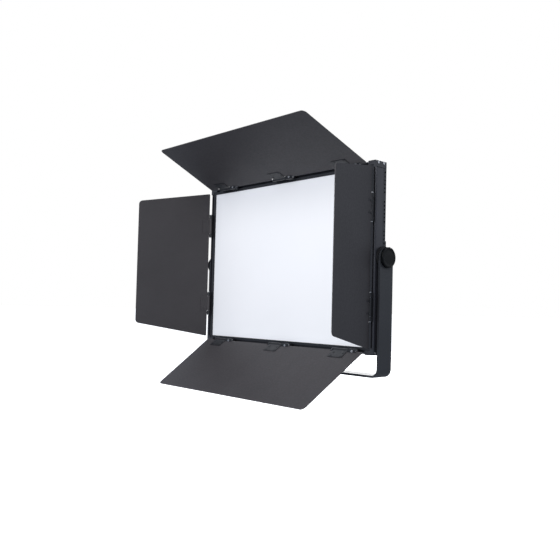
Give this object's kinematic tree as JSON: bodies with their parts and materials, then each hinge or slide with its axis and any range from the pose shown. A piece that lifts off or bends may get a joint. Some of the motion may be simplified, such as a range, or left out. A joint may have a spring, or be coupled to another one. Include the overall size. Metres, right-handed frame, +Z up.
{
  "type": "led panel light",
  "caption": "Flat rectangular LED soft panel with hinged barn-door leaves, a tilting U-shaped yoke with round lock knobs and a spigot receiver for a light stand.",
  "frame": {"origin": "centre of the mouth of the yoke's spigot receiver, on the bore axis", "axes": "+X to the right as seen from the front, -Y the way the lit face points, +Z up the bore towards the head"},
  "size_m": [0.7548, 0.3026, 0.6336],
  "materials": {
    "yoke_paint": "fine satin black powder coat",
    "receiver_paint": "black paint, semi-matte",
    "zinc_steel": "zinc-plated, satin",
    "pad_brass": "turned",
    "black_handle": "black anodised, satin",
    "rail_anodised": "black anodised extrusion",
    "cap_plastic": "moulded, fine grain",
    "bezel_anodised": "black anodised",
    "diffuser": "opal acrylic, satin",
    "white_paint": "white reflector paint",
    "white_board": "white solder mask",
    "led_warm": "amber phosphor",
    "led_cool": "pale phosphor",
    "bare_aluminium": "mill finish",
    "cover_paint": "black powder coat",
    "black_screw": "black oxide",
    "housing_plastic": "moulded, fine grain",
    "panel_black": "smooth",
    "circuit_green": "green solder mask",
    "display_black": "tinted window",
    "button_grey": "moulded",
    "dial_black": "moulded, fluted",
    "socket_black": "moulded",
    "friction_pad": "fibre-filled friction plastic",
    "knob_black": "moulded, satin",
    "hinge_black": "black paint",
    "pin_steel": "nickel-plated, bright",
    "leaf_paint": "black powder-coated sheet"
  },
  "bodies": {
    "yoke": {"yoke_bracket": "yoke_paint", "spigot_receiver": "receiver_paint", "receiver_bolt": "zinc_steel"},
    "head": {"top_rail": "rail_anodised", "bottom_rail": "rail_anodised", "left_rail": "rail_anodised", "right_rail": "rail_anodised", "corner_caps": "cap_plastic", "front_screws": "zinc_steel", "front_bezel": "bezel_anodised", "diffuser_panel": "diffuser", "light_box": "white_paint", "led_boards": "white_board", "led_chips_warm": "led_warm", "led_chips_cool": "led_cool", "heat_sink": "bare_aluminium", "rear_cover": "cover_paint", "cover_standoffs": "bare_aluminium", "rear_screws": "black_screw", "cross_rail": "cover_paint", "pivot_nuts": "zinc_steel", "control_housing": "housing_plastic", "control_panel": "panel_black", "display_module": "circuit_green", "display_window": "display_black", "encoder_bodies": "bare_aluminium", "rocker_frame": "socket_black", "power_inlet": "socket_black", "data_ports": "socket_black", "power_supply": "bare_aluminium", "driver_board": "circuit_green", "left_friction_disc": "friction_pad", "right_friction_disc": "friction_pad", "long_hinge_brackets": "hinge_black", "side_hinge_brackets": "hinge_black", "long_hinge_pins": "pin_steel", "side_hinge_pins": "pin_steel"},
    "clamp_pad": {"clamp_pad": "pad_brass"},
    "clamp_screw": {"clamp_stud": "zinc_steel", "clamp_handle": "black_handle"},
    "left_thrust_washer": {"left_thrust_washer": "zinc_steel"},
    "right_thrust_washer": {"right_thrust_washer": "zinc_steel"},
    "left_tilt_knob": {"left_tilt_knob": "knob_black", "left_tilt_stud": "zinc_steel"},
    "right_tilt_knob": {"right_tilt_knob": "knob_black", "right_tilt_stud": "zinc_steel"},
    "menu_button": {"menu_button": "button_grey"},
    "set_button": {"set_button": "button_grey"},
    "mode_button": {"mode_button": "button_grey"},
    "intensity_dial": {"intensity_dial": "dial_black"},
    "colour_dial": {"colour_dial": "dial_black"},
    "power_rocker": {"power_rocker": "socket_black"},
    "top_leaf": {"top_leaf": "leaf_paint", "top_leaf_hinges": "hinge_black"},
    "bottom_leaf": {"bottom_leaf": "leaf_paint", "bottom_leaf_hinges": "hinge_black"},
    "left_leaf": {"left_leaf": "leaf_paint", "left_leaf_hinges": "hinge_black"},
    "right_leaf": {"right_leaf": "leaf_paint", "right_leaf_hinges": "hinge_black"}
  },
  "joints": [
    {"name": "head_tilt", "type": "hinge", "parent": "yoke", "child": "head", "pos_m": [0, 0, 0.331], "axis": [-1, 0, 0], "range_deg": [-10, 90]},
    {"name": "top_leaf_hinge", "type": "hinge", "parent": "head", "child": "top_leaf", "pos_m": [0, -0.039, 0.545], "axis": [-1, 0, 0], "range_deg": [-113.5, 96.5]},
    {"name": "bottom_leaf_hinge", "type": "hinge", "parent": "head", "child": "bottom_leaf", "pos_m": [0, -0.039, 0.117], "axis": [1, 0, 0], "range_deg": [-124, 61]},
    {"name": "left_leaf_hinge", "type": "hinge", "parent": "head", "child": "left_leaf", "pos_m": [-0.304, -0.035, 0.331], "axis": [0, 0, -1], "range_deg": [-111.3, 73.7]},
    {"name": "right_leaf_hinge", "type": "hinge", "parent": "head", "child": "right_leaf", "pos_m": [0.304, -0.035, 0.331], "axis": [0, 0, 1], "range_deg": [-109.2, 75.8]},
    {"name": "left_knob_travel", "type": "slide", "parent": "head", "child": "left_thrust_washer", "axis": [-1, 0, 0], "range_m": [0, 0.00187]},
    {"name": "left_knob_turn", "type": "hinge", "parent": "left_thrust_washer", "child": "left_tilt_knob", "pos_m": [-0.323, 0, 0.331], "axis": [-1, 0, 0], "range_deg": [0, 540]},
    {"name": "right_knob_travel", "type": "slide", "parent": "head", "child": "right_thrust_washer", "axis": [1, 0, 0], "range_m": [0, 0.00187]},
    {"name": "right_knob_turn", "type": "hinge", "parent": "right_thrust_washer", "child": "right_tilt_knob", "pos_m": [0.323, 0, 0.331], "axis": [1, 0, 0], "range_deg": [0, 540]},
    {"name": "clamp_travel", "type": "slide", "parent": "yoke", "child": "clamp_pad", "axis": [0, -1, 0], "range_m": [-0.00125, 0.0025]},
    {"name": "clamp_turn", "type": "hinge", "parent": "clamp_pad", "child": "clamp_screw", "pos_m": [0, 0.03, 0.025], "axis": [0, -1, 0], "range_deg": [-360, 720]},
    {"name": "menu_press", "type": "slide", "parent": "head", "child": "menu_button", "axis": [0, -1, 0], "range_m": [0, 0.0012], "stiffness_N_per_m": 900},
    {"name": "set_press", "type": "slide", "parent": "head", "child": "set_button", "axis": [0, -1, 0], "range_m": [0, 0.0012], "stiffness_N_per_m": 900},
    {"name": "mode_press", "type": "slide", "parent": "head", "child": "mode_button", "axis": [0, -1, 0], "range_m": [0, 0.0012], "stiffness_N_per_m": 900},
    {"name": "intensity_turn", "type": "hinge", "parent": "head", "child": "intensity_dial", "pos_m": [0.105, 0.053, 0.339], "axis": [0, -1, 0], "continuous": true},
    {"name": "colour_turn", "type": "hinge", "parent": "head", "child": "colour_dial", "pos_m": [-0.025, 0.053, 0.339], "axis": [0, -1, 0], "continuous": true},
    {"name": "power_rock", "type": "hinge", "parent": "head", "child": "power_rocker", "pos_m": [-0.11, 0.053, 0.307], "axis": [-1, 0, 0], "range_deg": [0, 16]}
  ],
  "couplings": [
    {"joint": "left_knob_travel", "follows": "left_knob_turn", "m_per_rad": 0.00019894},
    {"joint": "right_knob_travel", "follows": "right_knob_turn", "m_per_rad": 0.00019894},
    {"joint": "clamp_travel", "follows": "clamp_turn", "m_per_rad": 0.00019894}
  ]
}
